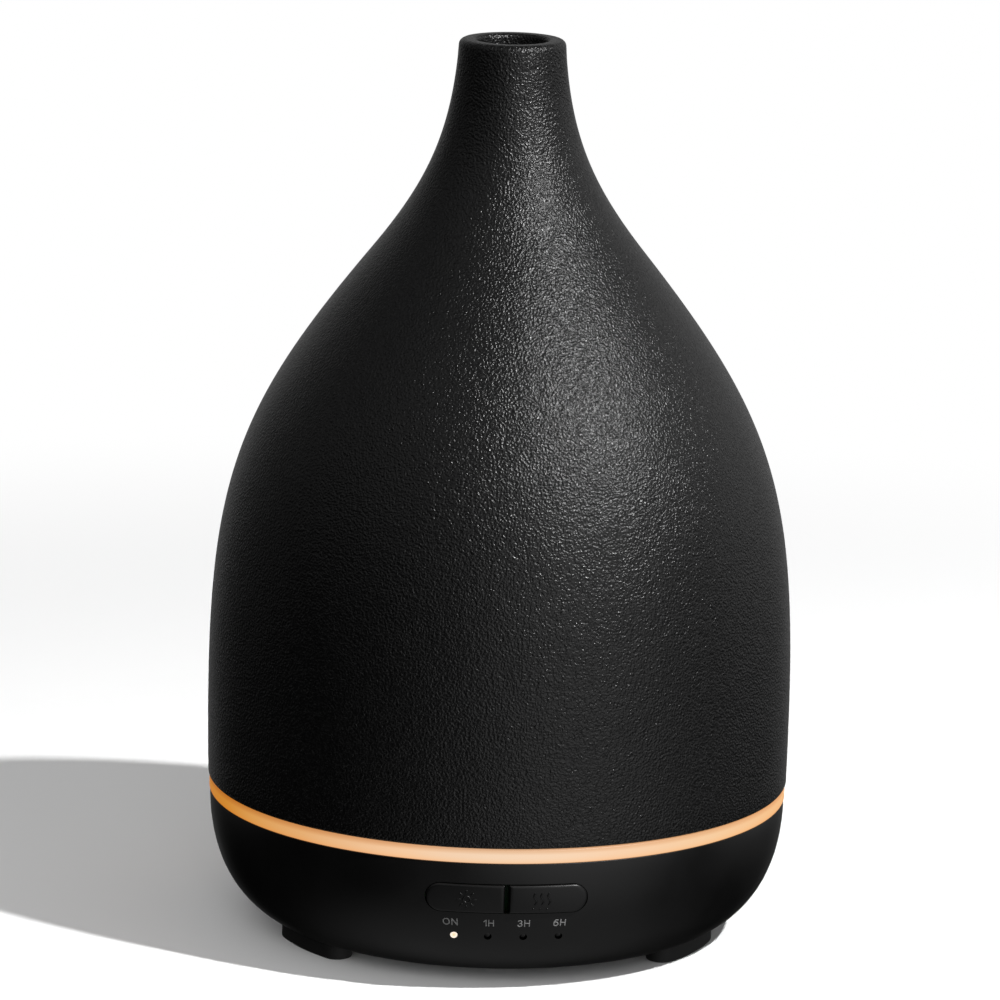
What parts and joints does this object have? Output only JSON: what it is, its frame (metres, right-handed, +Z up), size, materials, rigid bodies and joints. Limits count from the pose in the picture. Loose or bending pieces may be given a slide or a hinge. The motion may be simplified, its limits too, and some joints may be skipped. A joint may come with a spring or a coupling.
{
  "type": "essential oil diffuser",
  "caption": "Ultrasonic essential oil diffuser: a bottle-shaped ceramic cover on a glowing ring over a plastic bowl with two push buttons and a water tank.",
  "frame": {"origin": "on the surface it stands on, under the centre of the bowl", "axes": "+Z up along the bowl's axis, -Y towards the buttons, +X to the right of somebody facing the buttons"},
  "size_m": [0.1204, 0.1204, 0.1854],
  "materials": {
    "ceramic_black": "satin near-black ceramic with a fine pebbled grain",
    "plastic_black": "fine matte moulding",
    "button_black": "satin moulding with raised icons",
    "ring_glow": "translucent diffusing plastic, lit from below",
    "lamp_glow": "clear light guide, lit",
    "lamp_clear": "clear light guide, unlit",
    "rubber_black": "soft matte rubber",
    "plastic_white": "milky polypropylene",
    "plastic_dark": "black moulding",
    "board_green": "solder resist on fibreglass board",
    "steel": "plated steel",
    "brass": "polished disc",
    "wire_red": "smooth wire insulation"
  },
  "bodies": {
    "base": {"base_shell": "plastic_black", "light_ring": "ring_glow", "water_tank": "plastic_white", "tank_seal": "rubber_black", "piezo_gasket": "rubber_black", "piezo_disc": "brass", "piezo_retainer": "plastic_dark", "intake_grille": "plastic_black", "foot_right": "rubber_black", "foot_rear": "rubber_black", "foot_left": "rubber_black", "base_screw_1": "steel", "base_screw_2": "steel", "base_screw_3": "steel", "light_switch": "steel", "mist_switch": "steel", "switch_board": "board_green", "light_guide_on": "lamp_glow", "light_guide_1h": "lamp_clear", "light_guide_3h": "lamp_clear", "light_guide_6h": "lamp_clear", "lamp_ring_board": "board_green", "control_board": "board_green", "board_screw_1": "steel", "board_screw_2": "steel", "power_inductor": "plastic_dark", "filter_capacitor": "plastic_dark", "drive_transistor": "plastic_dark", "heat_sink": "steel", "fan_connector": "plastic_white", "power_connector": "plastic_white", "fan_frame": "plastic_dark", "fan_duct": "plastic_dark", "dc_jack": "plastic_dark", "piezo_lead": "wire_red", "fan_lead": "wire_red", "power_lead": "plastic_dark", "switch_lead": "plastic_dark"},
    "inner_lid": {"inner_lid": "plastic_white"},
    "ceramic_cover": {"ceramic_cover": "ceramic_black"},
    "light_button": {"light_button": "button_black", "light_plunger": "plastic_dark"},
    "mist_button": {"mist_button": "button_black", "mist_plunger": "plastic_dark"},
    "fan_rotor": {"fan_rotor": "plastic_dark"}
  },
  "joints": [
    {"name": "lid_lift", "type": "slide", "parent": "base", "child": "inner_lid", "axis": [0, 0, 1], "range_m": [0, 0.06]},
    {"name": "cover_lift", "type": "slide", "parent": "inner_lid", "child": "ceramic_cover", "axis": [0, 0, 1], "range_m": [0, 0.1]},
    {"name": "light_button_press", "type": "slide", "parent": "base", "child": "light_button", "axis": [0, 1, 0], "range_m": [0, 0.0008], "stiffness_N_per_m": 1500},
    {"name": "mist_button_press", "type": "slide", "parent": "base", "child": "mist_button", "axis": [0, 1, 0], "range_m": [0, 0.0008], "stiffness_N_per_m": 1500},
    {"name": "fan_spin", "type": "hinge", "parent": "base", "child": "fan_rotor", "pos_m": [0, 0.026, 0.009], "axis": [0, 0, 1], "continuous": true}
  ]
}
